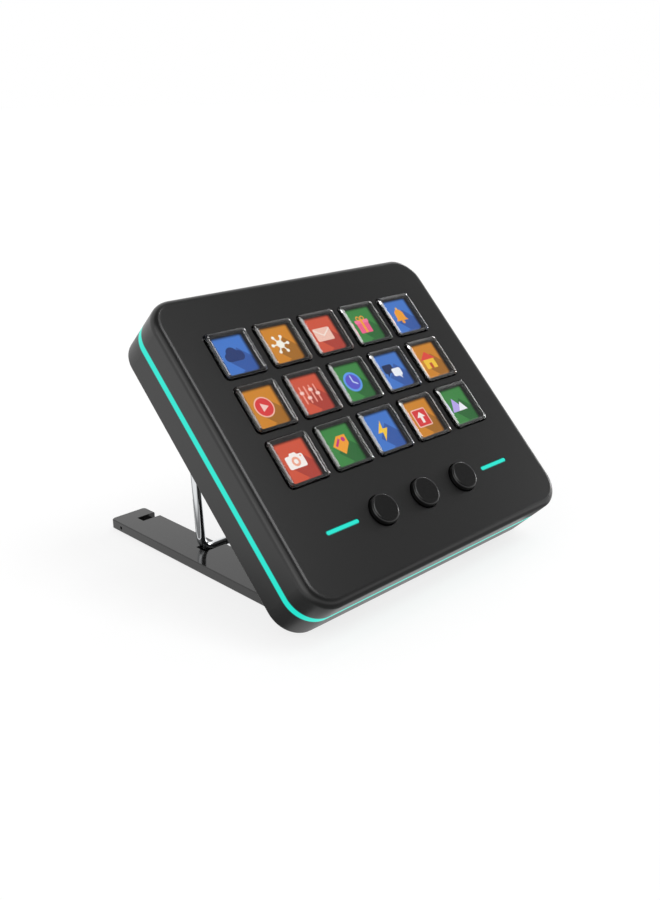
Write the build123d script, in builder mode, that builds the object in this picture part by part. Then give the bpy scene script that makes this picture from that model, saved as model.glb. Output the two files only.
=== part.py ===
from build123d import *
from math import atan2, cos, degrees, hypot, radians, sin
import os

# Desk stream controller on a folding wire-propped stand. Lengths in millimetres, angles in degrees.
# The controller housing leans back over a flat plate that lies on the desk.
# Depths are measured inwards from the front surface of the panel, and "up" is up the slope of the panel.

# Housing
body_width = 120.0
body_height = 106.2
body_depth = 21.0
corner_radius = 10.0
front_edge_radius = 2.5
rear_edge_radius = 0.8
side_wall = 2.2
panel_thickness = 2.0
rear_wall = 2.0
panel_slope = 45.0
joint_gap = 0.1

# Light band round the four sides, clamped between the two shells
band_width = 2.6
band_thickness = 3.2

# Display keys
top_margin = 13.8
key_columns = 5
key_rows = 3
key_pitch = 19.2
cap_gap = 3.0
cap_corner = 1.6
cap_proud = 0.85
cap_bevel_width = 1.3
cap_bevel_depth = 0.45
cap_lens = 1.25
cap_flange = 0.9
cap_flange_thickness = 0.8
cap_side_wall = 1.5
key_window_clearance = 0.4
key_travel = 0.8

# Round push buttons
button_radius = 5.0
button_proud = 2.0
button_edge_radius = 0.8
button_clearance = 0.35
button_flange = 1.2
button_flange_thickness = 0.9
button_stem_radius = 1.4
button_stem_length = 0.9
button_travel = 0.6
plunger_sink = 0.3
buttons_down = 32.7

# Light bars beside the buttons
bar_length = 13.6
bar_width = 1.5
bar_offset = 36.5
bar_flange = 0.8
bar_flange_thickness = 1.0
bar_fit = 0.05

# Tact switches and the board that carries them
switch_size = 6.0
switch_height = 2.1
switch_floor = 0.2
plunger_radius = 1.5
plunger_length = 1.6
plunger_clearance = 0.35
button_board_width = 88.0
button_board_height = 15.0
button_board_drop = 2.8
board_thickness = 1.0
bar_led_height = 0.8
bar_led_spread = 3.5
led_length = 2.0
led_width = 1.2
button_post_inset = 14.0
button_post_drop = 7.9

# Display stack behind the keys
membrane_thickness = 0.6
contact_board_thickness = 0.6
sheet_side_margin = 2.0
sheet_end_margin = 1.2
sheet_lip = 0.8
lcd_side_margin = 7.25
lcd_top_margin = 12.1
lcd_board_gap = 1.8
lcd_glass_thickness = 1.3
lcd_backlight_thickness = 1.7
tray_sheet = 0.5
tray_clearance = 0.1
tray_lip = 2.6
tray_tab_radius = 2.6
tray_top_post_gap = 2.4
tray_low_post_gap = 2.7
tray_top_post_inset = 12.75
board_post_gap = 3.5
ribbon_slot_gap = 0.5
post_radius = 1.8

# Main board, its parts and the ribbon to the display
main_board_thickness = 1.6
main_board_width = 93.0
main_board_height = 80.0
board_rear_gap = 1.4
tongue_width = 16.0
tongue_strip_gap = 0.5
standoff_wire_gap = 8.6
standoff_end_margin = 6.0
standoff_radius = 2.6
chip_height = 1.0
connector_width = 14.0
connector_length = 4.5
connector_height = 1.0
connector_side_gap = 10.0
connector_drop = 5.6
chip_side = 14.0
memory_length = 12.0
memory_width = 8.0
memory_offset = 20.0
memory_up = 4.0
power_side = 6.0
power_offset = 20.0
power_up = 8.0
driver_length = 8.0
driver_width = 5.0
driver_offset = 22.0
driver_down = 12.0
ribbon_width = 12.0
ribbon_thickness = 0.3
ribbon_start = 0.8
ribbon_lead = 1.0

# Connector for the cable, on the upper side of the housing
usb_width = 8.94
usb_height = 3.2
usb_length = 7.3
usb_sheet = 0.3
usb_tongue = 0.7
usb_recess = 0.5
usb_opening_gap = 0.35

# Light strip inside the band
strip_gap = 1.1
strip_thickness = 0.3
strip_width = 2.4
ring_led_gap = 0.05
ring_led_height = 1.6
ring_led_spacing = 18.0
ring_led_columns = 6
ring_led_rows = 5

# Screws
corner_screw_side_margin = 9.0
corner_screw_end_margin = 7.5
boss_radius = 2.4
rear_post_radius = 2.9
housing_screw_radius = 1.1
housing_screw_head_radius = 2.3
housing_screw_head = 1.8
housing_screw_sink = 2.2
screw_tip_cover = 4.0
small_screw_radius = 1.0
small_screw_head_radius = 1.9
small_screw_head = 1.0
small_screw_length = 4.5
drive_radius = 0.7
drive_depth = 0.6
large_drive_radius = 0.95
large_drive_depth = 0.9
bearing_screw_head = 0.6
thread_fit = 0.02
screw_play = 0.25

# Stand plate
plate_side_margin = 11.25
plate_thickness = 3.5
plate_reach = 102.2
plate_clearance = 0.6
plate_corner = 1.5
plate_front_corner = 3.0
plate_edge = 0.3
pad_radius = 4.0
pad_thickness = 1.0
pad_proud = 0.5
front_pad_reach = 12.0
rear_pad_margin = 16.2
pad_inset = 7.35
arm_width = 14.65
groove_end_gap = 1.1
groove_floor = 0.8
rear_groove_margin = 8.2
rear_groove_length = 3.8
finger_wall = 1.1
finger_length = 12.0
finger_corner = 3.0
side_hole_radius = 0.6
side_hole_depth = 0.8

# Hinge between plate and housing
hinge_up = 4.0
hinge_lift = 0.1
pin_radius = 1.25
pin_fit = 0.02
pin_running_fit = 0.07
barrel_radius = 2.6
barrel_gap = 0.3
knuckle_inset = 9.05
knuckle_width = 9.4
ear_length = 8.0
pocket_gap = 0.4
hinge_block_thickness = 5.5
hinge_block_height = 8.6
neck_gap = 0.4

# Wire prop
wire_diameter = 3.1
wire_inset = 8.15
prop_pivot_drop = 8.6
prop_pivot_depth = 2.5
foot_reach = 59.5
foot_gap = 0.3
foot_bend = 5.0
groove_rear_gap = 0.3
groove_front_gap = 0.4
groove_lead_in = 1.3
channel_clearance = 0.5
channel_floor_gap = 0.35
channel_wall = 1.6
bearing_gap = 3.6
bearing_width = 4.5
bearing_half_height = 3.2
bearing_fit = 0.05
bearing_seat_gap = 0.1
bearing_sink = 0.6
bearing_tab_length = 6.0
bearing_tab_thickness = 1.2
stub_end_gap = 0.8
bend_start_gap = 0.3

# Sizes and places of pieces that follow from one another, across and up the panel
wire_radius = wire_diameter / 2
keys_width = key_columns * key_pitch
keys_height = key_rows * key_pitch
keys_up = body_height / 2 - top_margin - keys_height / 2
cap_size = key_pitch - cap_gap
key_window = cap_size + 2 * key_window_clearance
sheet_window = cap_size - 2 * sheet_lip
sheet_width = keys_width + 2 * sheet_side_margin
sheet_height = keys_height + 2 * sheet_end_margin
button_board_down = buttons_down + button_board_drop
lcd_edge = body_height / 2 - lcd_top_margin
lcd_low_edge = button_board_height / 2 - button_board_down + lcd_board_gap
lcd_width = body_width - 2 * lcd_side_margin
lcd_height = lcd_edge - lcd_low_edge
lcd_up = (lcd_edge + lcd_low_edge) / 2
tray_width = lcd_width + 2 * (tray_clearance + tray_sheet)
tray_height = lcd_height + 2 * (tray_clearance + tray_sheet)
tray_edge = lcd_edge + tray_clearance + tray_sheet
tray_low_edge = lcd_low_edge - tray_clearance - tray_sheet
strip_inset = band_thickness + strip_gap
tongue_reach = body_height / 2 - strip_inset - strip_thickness - tongue_strip_gap
inner_corner = corner_radius - side_wall

# The stand and the wire, across
plate_width = body_width - 2 * plate_side_margin
window_half_width = plate_width / 2 - arm_width
pad_offset = plate_width / 2 - pad_inset
prop_half_width = plate_width / 2 - wire_inset
groove_half_width = prop_half_width + groove_end_gap
finger_half_width = window_half_width - finger_wall
knuckle_outer = plate_width / 2 - knuckle_inset
knuckle_inner = knuckle_outer - knuckle_width
bearing_outer = prop_half_width - bearing_gap
bearing_inner = bearing_outer - bearing_width
bearing_middle = bearing_inner + bearing_width / 2
standoff_offset = prop_half_width - standoff_wire_gap
standoff_up = main_board_height / 2 - standoff_end_margin
connector_offset = standoff_offset - connector_side_gap
connector_up = tray_edge - connector_drop

# The stand and the wire, fore and aft
foot_height = groove_floor + foot_gap + wire_radius
prop_pivot_up = body_height - hinge_up - prop_pivot_drop
plate_front_gap = barrel_radius + plate_clearance
rear_groove_reach = plate_reach - rear_groove_margin
rear_pad_reach = plate_reach - rear_pad_margin

# Depths inside the panel, first of what the front shell carries, then of what the rear shell carries
flange_depth = panel_thickness + joint_gap
pressed_depth = flange_depth + cap_flange_thickness + key_travel
membrane_depth = pressed_depth + key_window_clearance
contact_depth = membrane_depth + membrane_thickness
glass_depth = contact_depth + contact_board_thickness
backlight_depth = glass_depth + lcd_glass_thickness
tray_depth = backlight_depth + lcd_backlight_thickness
tray_back = tray_depth + tray_sheet
ribbon_start_depth = backlight_depth + ribbon_start
stem_end = flange_depth + button_flange_thickness + button_stem_length
plunger_end = stem_end + plunger_length
switch_front = stem_end + button_travel + switch_floor - plunger_sink
switch_back = plunger_end + button_travel + switch_floor + joint_gap
button_board_depth = switch_back
button_board_back = button_board_depth + board_thickness
housing_screw_tip = panel_thickness + screw_tip_cover
band_depth = (body_depth - band_width) / 2
rear_depth = band_depth + band_width
rear_inside = body_depth - rear_wall
hinge_block_depth = body_depth - hinge_block_thickness
pivot_axis_depth = body_depth - prop_pivot_depth
channel_floor = pivot_axis_depth - wire_radius - channel_floor_gap
channel_back = channel_floor - channel_wall
bearing_floor = channel_floor - bearing_sink
main_board_back = channel_back - board_rear_gap
main_board_depth = main_board_back - main_board_thickness
boss_end = main_board_depth - joint_gap

# Hinge line. The origin is midway between the front-most and rear-most points, on the desk.
slope_cos = cos(radians(panel_slope))
slope_sin = sin(radians(panel_slope))
hinge_z = pad_proud + plate_thickness + hinge_lift
hinge_to_panel = (body_height / 2 - hinge_up) * slope_cos - body_depth * slope_sin
panel_to_front = (
    (body_height / 2 - front_edge_radius) * slope_cos
    - front_edge_radius * slope_sin
    + front_edge_radius
)
hinge_y = -(plate_reach + hinge_to_panel - panel_to_front) / 2
panel_y = hinge_y + hinge_to_panel
panel_z = hinge_z + (body_height / 2 - hinge_up) * slope_sin + body_depth * slope_cos
panel_normal = Vector(0, -slope_sin, slope_cos)
up_slope = Vector(0, slope_cos, slope_sin)
panel_plane = Plane(origin=(0, panel_y, panel_z), x_dir=(1, 0, 0), z_dir=panel_normal)
panel_axis = Axis((0, panel_y, panel_z), panel_normal)
hinge_point = Vector(0, hinge_y, hinge_z)


def at_depth(depth):
    """Plane parallel to the front panel, this far inside it."""
    return panel_plane.offset(-depth)


def across_at(offset):
    """Plane across the housing at this distance from the middle, its x axis pointing up the slope."""
    return Plane(origin=(offset, panel_y, panel_z), x_dir=up_slope, z_dir=(1, 0, 0))


def across_world(offset, point):
    """Upright plane across the stand at this distance from the middle, centred on a point."""
    return Plane(origin=(offset, point.Y, point.Z), x_dir=(0, 1, 0), z_dir=(1, 0, 0))


def save(piece, name):
    """Label one finished piece and write its file."""
    piece.part.label = name
    export_step(piece.part, f"parts/{name}.step")


os.makedirs("parts", exist_ok=True)

# Places worked out from the sizes above
key_places = [
    [
        ((column - (key_columns - 1) / 2) * key_pitch, keys_up + ((key_rows - 1) / 2 - row) * key_pitch)
        for column in range(key_columns)
    ]
    for row in range(key_rows)
]
all_key_places = [place for row_places in key_places for place in row_places]
button_names = ["left", "middle", "right"]
button_places = [((index - 1) * key_pitch, -buttons_down) for index in range(len(button_names))]
bar_places = [(-bar_offset, -buttons_down), (bar_offset, -buttons_down)]
corner_screws = [
    (side * (body_width / 2 - corner_screw_side_margin), end * (body_height / 2 - corner_screw_end_margin))
    for side in (-1, 1)
    for end in (-1, 1)
]
top_post_offset = lcd_width / 2 - tray_top_post_inset
low_post_offset = button_board_width / 2 + board_post_gap
button_post_offset = button_board_width / 2 - button_post_inset
tray_posts = [(side * top_post_offset, tray_edge + tray_top_post_gap) for side in (-1, 1)]
tray_posts += [(side * low_post_offset, tray_low_edge - tray_low_post_gap) for side in (-1, 1)]
button_posts = [(side * button_post_offset, -buttons_down - button_post_drop) for side in (-1, 1)]
standoffs = [(side * standoff_offset, end * standoff_up) for side in (-1, 1) for end in (-1, 1)]

# Wire prop: pivot near the top of the rear face, foot in the groove of the plate
prop_pivot = hinge_point + up_slope * prop_pivot_up + panel_normal * prop_pivot_depth
foot_point = Vector(0, hinge_y + foot_reach, pad_proud + foot_height)
prop_length = hypot(prop_pivot.Y - foot_point.Y, prop_pivot.Z - foot_point.Z)
prop_direction = (prop_pivot - foot_point).normalized()
prop_plane = Plane(origin=prop_pivot, x_dir=(1, 0, 0), z_dir=Vector(1, 0, 0).cross(prop_direction))
prop_fold_angle = degrees(atan2(-prop_direction.Y * slope_sin + prop_direction.Z * slope_cos,
                                prop_direction.Y * slope_cos + prop_direction.Z * slope_sin))
pivot_up = prop_pivot_up + hinge_up - body_height / 2
stowed_bar_up = pivot_up - prop_length
channel_width = wire_diameter + 2 * channel_clearance
tab_middle = bearing_inner - bearing_tab_length / 2
stub_end = bearing_inner + stub_end_gap
top_bend = prop_half_width - bearing_outer - bend_start_gap
seat_start = bearing_inner - bearing_tab_length - bearing_seat_gap
channel_top = pivot_up + channel_width / 2

# Front shell: panel, upper side walls, screw bosses
with BuildPart() as front_shell:
    with BuildSketch(panel_plane):
        RectangleRounded(body_width, body_height, corner_radius)
    extrude(amount=-band_depth)
    fillet(front_shell.faces().sort_by(panel_axis)[-1].edges(), radius=front_edge_radius)
    with BuildSketch(at_depth(panel_thickness)):
        RectangleRounded(body_width - 2 * side_wall, body_height - 2 * side_wall, inner_corner)
    extrude(amount=-(band_depth - panel_thickness), mode=Mode.SUBTRACT)
    with BuildSketch(panel_plane):
        with Locations(*all_key_places):
            RectangleRounded(key_window, key_window, cap_corner + key_window_clearance)
        with Locations(*button_places):
            Circle(button_radius + button_clearance)
        with Locations(*bar_places):
            SlotOverall(bar_length + 2 * bar_fit, bar_width + 2 * bar_fit)
    extrude(amount=-panel_thickness, mode=Mode.SUBTRACT)
    with BuildSketch(at_depth(panel_thickness)):
        with Locations(*corner_screws):
            Circle(boss_radius)
    extrude(amount=-(boss_end - panel_thickness))
    with BuildSketch(at_depth(panel_thickness)):
        with Locations(*tray_posts):
            Circle(post_radius)
    extrude(amount=-(tray_depth - panel_thickness))
    with BuildSketch(at_depth(panel_thickness)):
        with Locations(*button_posts):
            Circle(post_radius)
    extrude(amount=-(button_board_depth - panel_thickness))
    with BuildSketch(at_depth(boss_end)):
        with Locations(*corner_screws):
            Circle(housing_screw_radius + thread_fit)
    extrude(amount=boss_end - housing_screw_tip + screw_play, mode=Mode.SUBTRACT)
    with BuildSketch(at_depth(tray_depth)):
        with Locations(*tray_posts):
            Circle(small_screw_radius + thread_fit)
    extrude(amount=small_screw_length - tray_sheet + screw_play, mode=Mode.SUBTRACT)
    with BuildSketch(at_depth(button_board_depth)):
        with Locations(*button_posts):
            Circle(small_screw_radius + thread_fit)
    extrude(amount=small_screw_length - board_thickness + screw_play, mode=Mode.SUBTRACT)
save(front_shell, "front_shell")

# Light band: a clear ring flush with the sides
with BuildPart() as side_light_band:
    with BuildSketch(at_depth(band_depth)):
        RectangleRounded(body_width, body_height, corner_radius)
        RectangleRounded(
            body_width - 2 * band_thickness,
            body_height - 2 * band_thickness,
            corner_radius - band_thickness,
            mode=Mode.SUBTRACT,
        )
    extrude(amount=-band_width)
save(side_light_band, "side_light_band")

# Flexible strip with side lights, standing inside the band
with BuildPart() as ring_light_strip:
    with BuildSketch(at_depth(band_depth)):
        RectangleRounded(
            body_width - 2 * strip_inset, body_height - 2 * strip_inset, corner_radius - strip_inset
        )
        RectangleRounded(
            body_width - 2 * (strip_inset + strip_thickness),
            body_height - 2 * (strip_inset + strip_thickness),
            corner_radius - strip_inset - strip_thickness,
            mode=Mode.SUBTRACT,
        )
    extrude(amount=-strip_width)
save(ring_light_strip, "ring_light_strip")

led_thickness = strip_gap - ring_led_gap
led_inset = band_thickness + ring_led_gap + led_thickness / 2
with BuildPart() as ring_lights:
    with BuildSketch(at_depth(band_depth + (strip_width - ring_led_height) / 2)):
        for side in (-1, 1):
            with Locations((0, side * (body_height / 2 - led_inset))):
                with GridLocations(ring_led_spacing, 0, ring_led_columns, 1):
                    Rectangle(led_length, led_thickness)
            with Locations((side * (body_width / 2 - led_inset), 0)):
                with GridLocations(0, ring_led_spacing, 1, ring_led_rows):
                    Rectangle(led_thickness, led_length)
    extrude(amount=-ring_led_height)
save(ring_lights, "ring_lights")

# Key caps: clear lens with a bevelled edge, hollow below, with a flange that stops under the panel
cap_flange_size = cap_size + 2 * cap_flange
cap_cavity_size = cap_size - 2 * cap_side_wall
for row in range(key_rows):
    for column in range(key_columns):
        place = key_places[row][column]
        with BuildPart() as key_cap:
            with BuildSketch(at_depth(-cap_proud)):
                with Locations(place):
                    RectangleRounded(cap_size, cap_size, cap_corner)
            extrude(amount=-(cap_proud + flange_depth))
            cap_top = key_cap.faces().sort_by(panel_axis)[-1]
            chamfer(cap_top.edges(), length=cap_bevel_width, length2=cap_bevel_depth, reference=cap_top)
            with BuildSketch(at_depth(flange_depth)):
                with Locations(place):
                    RectangleRounded(cap_flange_size, cap_flange_size, cap_corner)
            extrude(amount=-cap_flange_thickness)
            with BuildSketch(at_depth(cap_lens - cap_proud)):
                with Locations(place):
                    Rectangle(cap_cavity_size, cap_cavity_size)
            cavity_depth = flange_depth + cap_flange_thickness - (cap_lens - cap_proud)
            extrude(amount=-cavity_depth, mode=Mode.SUBTRACT)
        save(key_cap, f"key_cap_{row + 1}{column + 1}")

# Rubber sheet that returns the keys, and the contact board it presses on
with BuildPart() as key_membrane:
    with BuildSketch(at_depth(membrane_depth)):
        with Locations((0, keys_up)):
            RectangleRounded(sheet_width, sheet_height, cap_corner)
        with Locations(*all_key_places):
            RectangleRounded(sheet_window, sheet_window, cap_corner, mode=Mode.SUBTRACT)
    extrude(amount=-membrane_thickness)
save(key_membrane, "key_membrane")

with BuildPart() as contact_board:
    with BuildSketch(at_depth(contact_depth)):
        with Locations((0, keys_up)):
            Rectangle(sheet_width, sheet_height)
        with Locations(*all_key_places):
            Rectangle(sheet_window, sheet_window, mode=Mode.SUBTRACT)
    extrude(amount=-contact_board_thickness)
save(contact_board, "contact_board")

# Display: glass, backlight and the sheet-metal tray screwed to the front shell
with BuildPart() as lcd_glass:
    with BuildSketch(at_depth(glass_depth)):
        with Locations((0, lcd_up)):
            Rectangle(lcd_width, lcd_height)
    extrude(amount=-lcd_glass_thickness)
save(lcd_glass, "lcd_glass")

with BuildPart() as lcd_backlight:
    with BuildSketch(at_depth(backlight_depth)):
        with Locations((0, lcd_up)):
            Rectangle(lcd_width, lcd_height)
    extrude(amount=-lcd_backlight_thickness)
save(lcd_backlight, "lcd_backlight")

with BuildPart() as lcd_tray:
    with BuildSketch(at_depth(tray_depth)):
        with Locations((0, lcd_up)):
            Rectangle(tray_width, tray_height)
        with Locations(*tray_posts):
            Circle(tray_tab_radius)
        for post in tray_posts:
            with Locations((post[0], (post[1] + lcd_up) / 2)):
                Rectangle(2 * tray_tab_radius, abs(post[1] - lcd_up))
    extrude(amount=-tray_sheet)
    with BuildSketch(at_depth(tray_depth)):
        with Locations((0, lcd_up)):
            Rectangle(tray_width, tray_height)
            Rectangle(tray_width - 2 * tray_sheet, tray_height - 2 * tray_sheet, mode=Mode.SUBTRACT)
        with Locations((connector_offset, tray_edge)):
            Rectangle(ribbon_width + 2 * ribbon_slot_gap, 4 * tray_sheet, mode=Mode.SUBTRACT)
    extrude(amount=tray_lip)
    with BuildSketch(at_depth(tray_depth)):
        with Locations(*tray_posts):
            Circle(small_screw_radius + screw_play)
    extrude(amount=-tray_sheet, mode=Mode.SUBTRACT)
save(lcd_tray, "lcd_tray")

# Main board with its tongue for the cable socket
with BuildPart() as main_board:
    with BuildSketch(at_depth(main_board_depth)):
        Rectangle(main_board_width, main_board_height)
        with Locations((0, tongue_reach / 2)):
            Rectangle(tongue_width, tongue_reach)
        with Locations(*standoffs):
            Circle(small_screw_radius + screw_play, mode=Mode.SUBTRACT)
    extrude(amount=-main_board_thickness)
save(main_board, "main_board")

with BuildPart() as board_chips:
    with BuildSketch(at_depth(main_board_depth)):
        Rectangle(chip_side, chip_side)
        with Locations((memory_offset, memory_up)):
            Rectangle(memory_length, memory_width)
        with Locations((-power_offset, power_up)):
            Rectangle(power_side, power_side)
        with Locations((-driver_offset, -driver_down)):
            Rectangle(driver_width, driver_length)
    extrude(amount=chip_height)
save(board_chips, "board_chips")

# Ribbon from the display to its connector on the main board
ribbon_end_depth = main_board_depth - connector_height / 2 - ribbon_thickness
ribbon_radius = (ribbon_end_depth - ribbon_start_depth) / 2
ribbon_turn = tray_edge + ribbon_lead
with BuildPart() as ribbon_connector:
    with BuildSketch(at_depth(main_board_depth)):
        with Locations((connector_offset, connector_up)):
            Rectangle(connector_width, connector_length)
    extrude(amount=connector_height)
save(ribbon_connector, "ribbon_connector")

with BuildPart() as lcd_ribbon:
    with BuildSketch(across_at(connector_offset - ribbon_width / 2)):
        with BuildLine():
            lead = Line((lcd_edge, -ribbon_start_depth), (ribbon_turn, -ribbon_start_depth))
            loop = JernArc(lead @ 1, (1, 0), ribbon_radius, -180)
            Line(loop @ 1, (connector_up + connector_length / 2, (loop @ 1).Y))
        trace(line_width=ribbon_thickness)
    extrude(amount=ribbon_width)
save(lcd_ribbon, "lcd_ribbon")

# Cable socket: a folded shell with its tongue, soldered behind the board
usb_end = body_height / 2 - usb_recess
usb_depth = main_board_back + usb_height / 2
usb_plane = Plane(
    origin=panel_plane.from_local_coords(Vector(0, usb_end, -usb_depth)), x_dir=(1, 0, 0), z_dir=up_slope
)
with BuildPart() as usb_socket:
    with BuildSketch(usb_plane):
        RectangleRounded(usb_width, usb_height, usb_height / 2 - 0.01)
    extrude(amount=-usb_length)
    with BuildSketch(usb_plane):
        RectangleRounded(
            usb_width - 2 * usb_sheet, usb_height - 2 * usb_sheet, usb_height / 2 - usb_sheet - 0.01
        )
    extrude(amount=-(usb_length - usb_tongue), mode=Mode.SUBTRACT)
    with BuildSketch(usb_plane.offset(-usb_length + usb_tongue)):
        Rectangle(usb_width - usb_height, usb_tongue)
    extrude(amount=usb_length - 2 * usb_tongue)
save(usb_socket, "usb_socket")

# Round buttons, the plungers under them, the switches and their board
for name, place in zip(button_names, button_places):
    with BuildPart() as button:
        with BuildSketch(at_depth(-button_proud)):
            with Locations(place):
                Circle(button_radius)
        extrude(amount=-(button_proud + flange_depth))
        fillet(button.faces().sort_by(panel_axis)[-1].edges(), radius=button_edge_radius)
        with BuildSketch(at_depth(flange_depth)):
            with Locations(place):
                Circle(button_radius + button_flange)
        extrude(amount=-button_flange_thickness)
        with BuildSketch(at_depth(flange_depth + button_flange_thickness)):
            with Locations(place):
                Circle(button_stem_radius)
        extrude(amount=-button_stem_length)
    save(button, f"button_{name}")
    with BuildPart() as switch_plunger:
        with BuildSketch(at_depth(stem_end)):
            with Locations(place):
                Circle(plunger_radius)
        extrude(amount=-plunger_length)
    save(switch_plunger, f"switch_plunger_{name}")

with BuildPart() as tact_switches:
    with BuildSketch(at_depth(switch_front)):
        with Locations(*button_places):
            Rectangle(switch_size, switch_size)
    extrude(amount=-(switch_back - switch_front))
    with BuildSketch(at_depth(switch_front)):
        with Locations(*button_places):
            Circle(plunger_radius + plunger_clearance)
    extrude(amount=-(switch_back - switch_front - switch_floor), mode=Mode.SUBTRACT)
save(tact_switches, "tact_switches")

with BuildPart() as button_board:
    with BuildSketch(at_depth(button_board_depth)):
        with Locations((0, -button_board_down)):
            Rectangle(button_board_width, button_board_height)
        with Locations(*button_posts):
            Circle(small_screw_radius + screw_play, mode=Mode.SUBTRACT)
    extrude(amount=-board_thickness)
save(button_board, "button_board")

# Light bars flush with the panel, with two small lights under each
for name, place in zip(("left", "right"), bar_places):
    with BuildPart() as light_bar:
        with BuildSketch(panel_plane):
            with Locations(place):
                SlotOverall(bar_length, bar_width)
        extrude(amount=-(button_board_depth - bar_led_height - joint_gap))
        with BuildSketch(at_depth(panel_thickness)):
            with Locations(place):
                SlotOverall(bar_length + 2 * bar_flange, bar_width + 2 * bar_flange)
        extrude(amount=-bar_flange_thickness)
    save(light_bar, f"light_bar_{name}")

with BuildPart() as bar_lights:
    with BuildSketch(at_depth(button_board_depth)):
        with Locations(*bar_places):
            with GridLocations(2 * bar_led_spread, 0, 2, 1):
                Rectangle(led_length, led_width)
    extrude(amount=bar_led_height)
save(bar_lights, "bar_lights")

# Rear shell: lower side walls, rear wall, wire channel, bearing seats, hinge ears
hinge_line_up = hinge_up - body_height / 2
ear_places = (
    knuckle_inner - barrel_gap - ear_length,
    knuckle_outer + barrel_gap,
    -knuckle_outer - barrel_gap - ear_length,
    -knuckle_inner + barrel_gap,
)
with BuildPart() as rear_shell:
    with BuildSketch(at_depth(rear_depth)):
        RectangleRounded(body_width, body_height, corner_radius)
    extrude(amount=-(body_depth - rear_depth))
    fillet(rear_shell.faces().sort_by(panel_axis)[0].edges(), radius=rear_edge_radius)
    with BuildSketch(at_depth(rear_depth)):
        RectangleRounded(body_width - 2 * side_wall, body_height - 2 * side_wall, inner_corner)
    extrude(amount=-(rear_inside - rear_depth), mode=Mode.SUBTRACT)
    # Thick lining round the wire channel and the bearing seats
    with BuildSketch(at_depth(channel_back)):
        with BuildLine():
            FilletPolyline(
                (-prop_half_width, channel_top + channel_wall),
                (-prop_half_width, stowed_bar_up),
                (prop_half_width, stowed_bar_up),
                (prop_half_width, channel_top + channel_wall),
                radius=foot_bend,
            )
        trace(line_width=channel_width + 2 * channel_wall)
        for side in (-1, 1):
            with Locations((side * (seat_start + prop_half_width) / 2, pivot_up)):
                Rectangle(prop_half_width - seat_start + 2 * channel_wall,
                          2 * (bearing_half_height + bearing_seat_gap + channel_wall))
    extrude(amount=-(rear_inside - channel_back))
    # Solid block behind the hinge
    with BuildSketch(at_depth(hinge_block_depth)):
        with Locations((0, -body_height / 2 + side_wall + hinge_block_height / 2)):
            Rectangle(2 * (knuckle_outer + barrel_gap + ear_length), hinge_block_height)
    extrude(amount=-(rear_inside - hinge_block_depth))
    with BuildSketch(at_depth(main_board_depth)):
        with Locations(*corner_screws):
            Circle(rear_post_radius)
    extrude(amount=-(rear_inside - main_board_depth))
    with BuildSketch(at_depth(main_board_back)):
        with Locations(*standoffs):
            Circle(standoff_radius)
    extrude(amount=-(rear_inside - main_board_back))
    for start in ear_places:
        with BuildSketch(across_world(start, hinge_point)):
            Circle(barrel_radius)
        extrude(amount=ear_length)
    # Pockets for the plate's knuckles and bores for the hinge pins
    for start in (knuckle_inner - barrel_gap, -knuckle_outer - barrel_gap):
        with BuildSketch(across_world(start, hinge_point)):
            Circle(barrel_radius + pocket_gap)
        extrude(amount=knuckle_outer - knuckle_inner + 2 * barrel_gap, mode=Mode.SUBTRACT)
    for start in ear_places:
        with BuildSketch(across_world(start, hinge_point)):
            Circle(pin_radius + pin_fit)
        extrude(amount=ear_length, mode=Mode.SUBTRACT)
    # Channel that takes the folded wire
    with BuildSketch(at_depth(body_depth)):
        with BuildLine():
            FilletPolyline(
                (-prop_half_width, channel_top),
                (-prop_half_width, stowed_bar_up),
                (prop_half_width, stowed_bar_up),
                (prop_half_width, channel_top),
                radius=foot_bend,
            )
        trace(line_width=channel_width)
    extrude(amount=body_depth - channel_floor, mode=Mode.SUBTRACT)
    # Seats of the two bearings, deeper than the channel, and of their screw tabs
    with BuildSketch(at_depth(body_depth)):
        for side in (-1, 1):
            with Locations((side * (bearing_inner - bearing_seat_gap + prop_half_width) / 2, pivot_up)):
                Rectangle(prop_half_width - bearing_inner + bearing_seat_gap,
                          2 * (bearing_half_height + bearing_seat_gap))
    extrude(amount=body_depth - bearing_floor + bearing_seat_gap, mode=Mode.SUBTRACT)
    with BuildSketch(at_depth(body_depth)):
        for side in (-1, 1):
            with Locations((side * (seat_start + bearing_outer) / 2, pivot_up)):
                Rectangle(bearing_outer - seat_start,
                          2 * (bearing_half_height + bearing_seat_gap))
    extrude(amount=bearing_tab_thickness + bearing_seat_gap, mode=Mode.SUBTRACT)
    with BuildSketch(at_depth(body_depth)):
        with Locations((-tab_middle, pivot_up), (tab_middle, pivot_up)):
            Circle(small_screw_radius + thread_fit)
    extrude(amount=small_screw_length + screw_play, mode=Mode.SUBTRACT)
    # Screw holes
    with BuildSketch(at_depth(body_depth)):
        with Locations(*corner_screws):
            Circle(housing_screw_radius + screw_play)
    extrude(amount=body_depth - main_board_depth, mode=Mode.SUBTRACT)
    with BuildSketch(at_depth(body_depth)):
        with Locations(*corner_screws):
            Circle(housing_screw_head_radius + screw_play)
    extrude(amount=housing_screw_sink, mode=Mode.SUBTRACT)
    with BuildSketch(at_depth(main_board_back)):
        with Locations(*standoffs):
            Circle(small_screw_radius + thread_fit)
    extrude(amount=-(small_screw_length - main_board_thickness + screw_play), mode=Mode.SUBTRACT)
    # Opening for the cable plug
    with BuildSketch(usb_plane.offset(usb_recess)):
        RectangleRounded(
            usb_width + 2 * usb_opening_gap,
            usb_height + 2 * usb_opening_gap,
            usb_height / 2 + usb_opening_gap - 0.01,
        )
    extrude(amount=-(side_wall + joint_gap), mode=Mode.SUBTRACT)
save(rear_shell, "rear_shell")

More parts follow.
